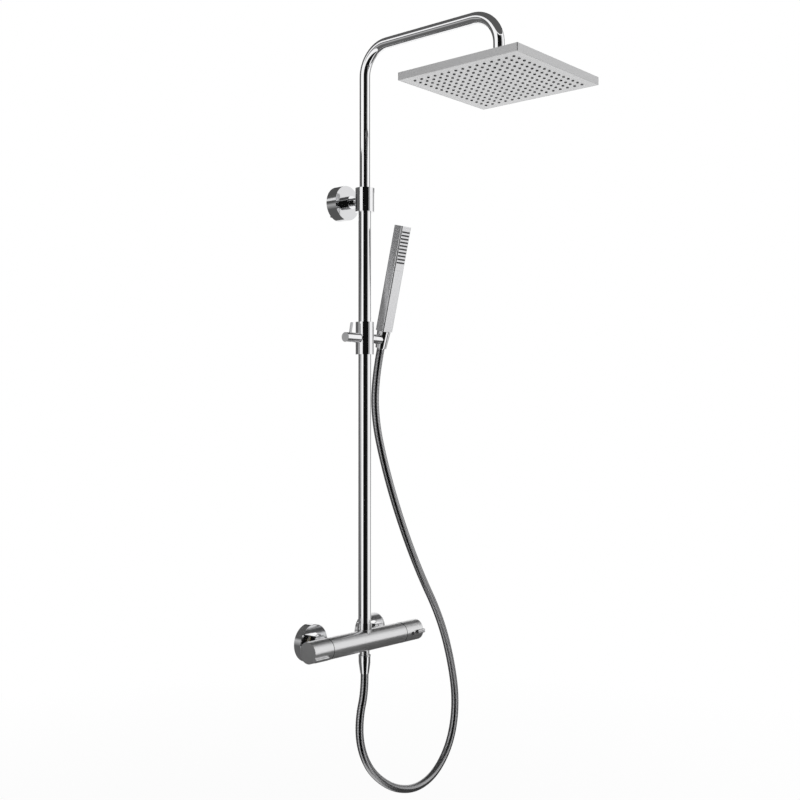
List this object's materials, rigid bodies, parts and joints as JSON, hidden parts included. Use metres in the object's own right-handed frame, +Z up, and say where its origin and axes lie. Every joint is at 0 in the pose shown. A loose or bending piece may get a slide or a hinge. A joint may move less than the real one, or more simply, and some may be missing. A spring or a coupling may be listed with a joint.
{
  "type": "shower column",
  "caption": "Wall-mounted rain shower column: thermostatic bar mixer, telescopic riser with swivelling arm, square rain head, sliding holder with stick hand shower and flexible hose.",
  "frame": {"origin": "point on the wall plane midway between the two water inlets", "axes": "+Z up the riser, +Y into the wall, +X along the mixer towards the temperature handle"},
  "size_m": [0.398, 0.4775, 1.3228],
  "materials": {
    "tube_chrome": "polished",
    "bright_chrome": "polished",
    "satin_chrome": "satin",
    "satin_steel": "satin",
    "steel": "machined",
    "brass": "machined",
    "white_plastic": "matt",
    "seal_rubber": "matt",
    "cartridge_plastic": "matt",
    "black_plastic": "gloss",
    "silicone": "matt",
    "shower_plastic": "satin metallic",
    "hose_metal": "gunmetal, wound"
  },
  "bodies": {
    "mixer": {"lower_tube": "tube_chrome", "telescope_bush": "white_plastic", "telescope_seal": "seal_rubber", "bracket_collar": "bright_chrome", "bracket_grub": "steel", "bracket_base": "steel", "bracket_wall_screws": "steel", "bracket_cover": "bright_chrome", "bracket_stem": "bright_chrome", "mixer_body": "satin_chrome", "riser_nut": "bright_chrome", "riser_seal": "seal_rubber", "left_union": "brass", "left_filter": "seal_rubber", "left_union_nut": "bright_chrome", "left_check_valve": "white_plastic", "left_flange": "bright_chrome", "right_union": "brass", "right_filter": "seal_rubber", "right_union_nut": "bright_chrome", "right_check_valve": "white_plastic", "right_flange": "bright_chrome", "flow_cartridge": "cartridge_plastic", "temperature_cartridge": "cartridge_plastic", "lower_hose_nut": "bright_chrome", "lower_hose_washer": "seal_rubber", "hose": "hose_metal"},
    "tube_guide": {"guide_ring": "white_plastic"},
    "arm": {"upper_tube": "tube_chrome", "ball_stem": "bright_chrome"},
    "ball_ring": {"ball_ring": "white_plastic"},
    "head": {"head_socket": "bright_chrome", "socket_nut": "bright_chrome", "head_shell": "satin_steel", "face_plate": "satin_steel", "nozzle_mat": "silicone", "inlet_diffuser": "white_plastic", "face_screw": "steel"},
    "liner": {"slider_liner": "white_plastic"},
    "slider": {"slider_collar": "bright_chrome", "holder_pin": "steel"},
    "clamp": {"clamp_screw": "steel", "clamp_knob": "bright_chrome", "clamp_lever": "bright_chrome"},
    "holder": {"holder_cup": "bright_chrome"},
    "hose_nut": {"upper_hose_nut": "bright_chrome", "upper_hose_washer": "seal_rubber"},
    "hand_shower": {"hand_shower_body": "shower_plastic", "hand_shower_plate": "shower_plastic", "hand_shower_nozzles": "silicone", "hand_shower_inlet": "shower_plastic"},
    "flow": {"flow_spindle": "brass", "flow_handle": "satin_chrome", "flow_cap": "satin_chrome", "flow_screw": "steel"},
    "temperature": {"temperature_spindle": "brass", "temperature_handle": "satin_chrome", "temperature_cap": "satin_chrome", "temperature_screw": "steel"},
    "button": {"stop_button": "black_plastic"}
  },
  "joints": [
    {"name": "arm_slide", "type": "slide", "parent": "mixer", "child": "tube_guide", "axis": [0, 0, 1], "range_m": [-0.17, 0.24]},
    {"name": "arm_swivel", "type": "hinge", "parent": "tube_guide", "child": "arm", "pos_m": [0, -0.063, 0.6], "axis": [0, 0, 1], "range_deg": [-70, 70]},
    {"name": "head_tilt_front", "type": "hinge", "parent": "arm", "child": "ball_ring", "pos_m": [0, -0.347, 0.939], "axis": [1, 0, 0], "range_deg": [-12, 12]},
    {"name": "head_tilt_side", "type": "hinge", "parent": "ball_ring", "child": "head", "pos_m": [0, -0.347, 0.939], "axis": [0, 1, 0], "range_deg": [-12, 12]},
    {"name": "slider_slide", "type": "slide", "parent": "mixer", "child": "liner", "axis": [0, 0, 1], "range_m": [-0.44, 0.185], "deforming": ["hose"]},
    {"name": "slider_swivel", "type": "hinge", "parent": "liner", "child": "slider", "pos_m": [0, -0.063, 0.52], "axis": [0, 0, 1], "range_deg": [-90, 45], "deforming": ["hose"]},
    {"name": "clamp_turn", "type": "hinge", "parent": "slider", "child": "clamp", "pos_m": [0, -0.063, 0.52], "axis": [1, 0, 0], "range_deg": [-90, 90]},
    {"name": "holder_tilt", "type": "hinge", "parent": "slider", "child": "holder", "pos_m": [0.046, -0.063, 0.52], "axis": [1, 0, 0], "range_deg": [-25, 45], "deforming": ["hose"]},
    {"name": "hand_shower_lift", "type": "slide", "parent": "holder", "child": "hose_nut", "axis": [0, -0.2368, 0.9715], "range_m": [0, 0.06], "deforming": ["hose"]},
    {"name": "hand_shower_spin", "type": "hinge", "parent": "hose_nut", "child": "hand_shower", "pos_m": [0.046, -0.063, 0.52], "axis": [0, -0.2368, 0.9715], "range_deg": [-90, 90]},
    {"name": "flow_turn", "type": "hinge", "parent": "mixer", "child": "flow", "pos_m": [-0.115, -0.063, 0], "axis": [1, 0, 0], "range_deg": [-90, 90]},
    {"name": "temperature_turn", "type": "hinge", "parent": "mixer", "child": "temperature", "pos_m": [0.115, -0.063, 0], "axis": [1, 0, 0], "range_deg": [-160, 100]},
    {"name": "button_press", "type": "slide", "parent": "temperature", "child": "button", "axis": [0, 0.9962, 0.0872], "range_m": [0, 0.0015], "stiffness_N_per_m": 400}
  ]
}
